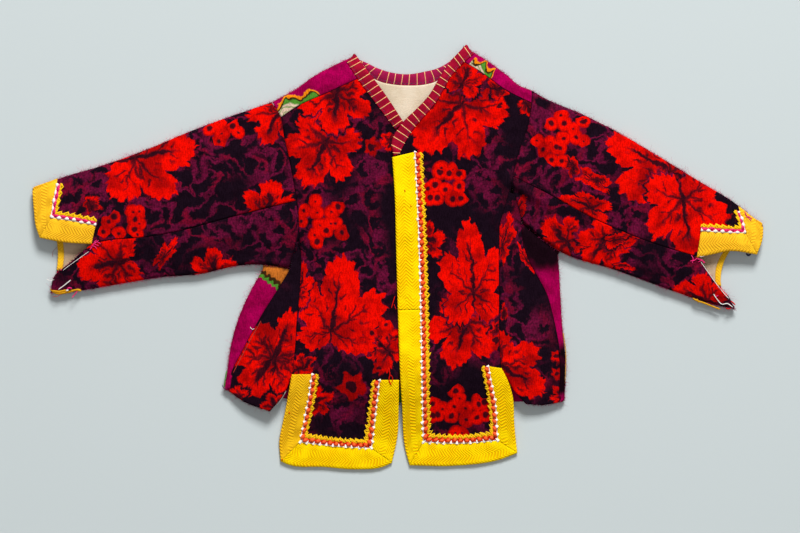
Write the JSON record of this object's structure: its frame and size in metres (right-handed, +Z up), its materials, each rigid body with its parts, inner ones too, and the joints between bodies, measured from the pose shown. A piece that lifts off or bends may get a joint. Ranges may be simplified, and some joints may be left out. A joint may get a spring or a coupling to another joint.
{
  "type": "child's embroidered folk jacket",
  "caption": "Child's long-sleeved folk jacket in printed wool, with yellow tapes, braid and a bound V neck, laid flat.",
  "frame": {"origin": "on the flat underside of the back, which lies on the surface, at the middle of the body's width below the neck", "axes": "+Z up out of the surface, +Y towards the neck, +X towards the wearer's left sleeve"},
  "size_m": [0.6391, 0.3701, 0.0199],
  "materials": {
    "printed_wool": "napped wool twill printed with red leaves on a dark plum ground",
    "magenta_wool": "napped wool twill in magenta with a few printed scrolls",
    "yellow_tape": "herringbone cotton tape",
    "coral_braid": "knotted braid in coral, white, pink and yellow yarn",
    "maroon_binding": "folded wool binding with cross-stitches",
    "cream_lining": "plain cotton lining"
  },
  "bodies": {
    "root": {"back": "magenta_wool", "front_right": "printed_wool", "front_left": "printed_wool", "side_gore_right": "printed_wool", "side_gore_left": "printed_wool", "sleeve_upper_right": "printed_wool", "sleeve_upper_left": "printed_wool", "sleeve_under_right": "printed_wool", "sleeve_under_left": "printed_wool", "front_tape_upper": "yellow_tape", "front_tape_lower": "yellow_tape", "hem_tape_left": "yellow_tape", "side_tape_left": "yellow_tape", "side_tape_right": "yellow_tape", "hem_tape_right": "yellow_tape", "inner_tape_right": "yellow_tape", "cuff_tape_right": "yellow_tape", "cuff_tape_left": "yellow_tape", "slit_tape_right": "yellow_tape", "slit_tape_left": "yellow_tape", "cuff_tape_back_right": "yellow_tape", "cuff_tape_back_left": "yellow_tape", "braid_front_left": "coral_braid", "braid_hem_left": "coral_braid", "braid_side_left": "coral_braid", "braid_side_right": "coral_braid", "braid_hem_right": "coral_braid", "braid_inner_right": "coral_braid", "braid_cuff_right": "coral_braid", "braid_cuff_left": "coral_braid", "braid_slit_right": "coral_braid", "braid_slit_left": "coral_braid", "neck_binding_right": "maroon_binding", "neck_binding_left": "maroon_binding", "neck_binding_back": "maroon_binding", "neck_lining": "cream_lining", "cuff_lining_right": "cream_lining", "cuff_lining_left": "cream_lining"}
  },
  "joints": []
}
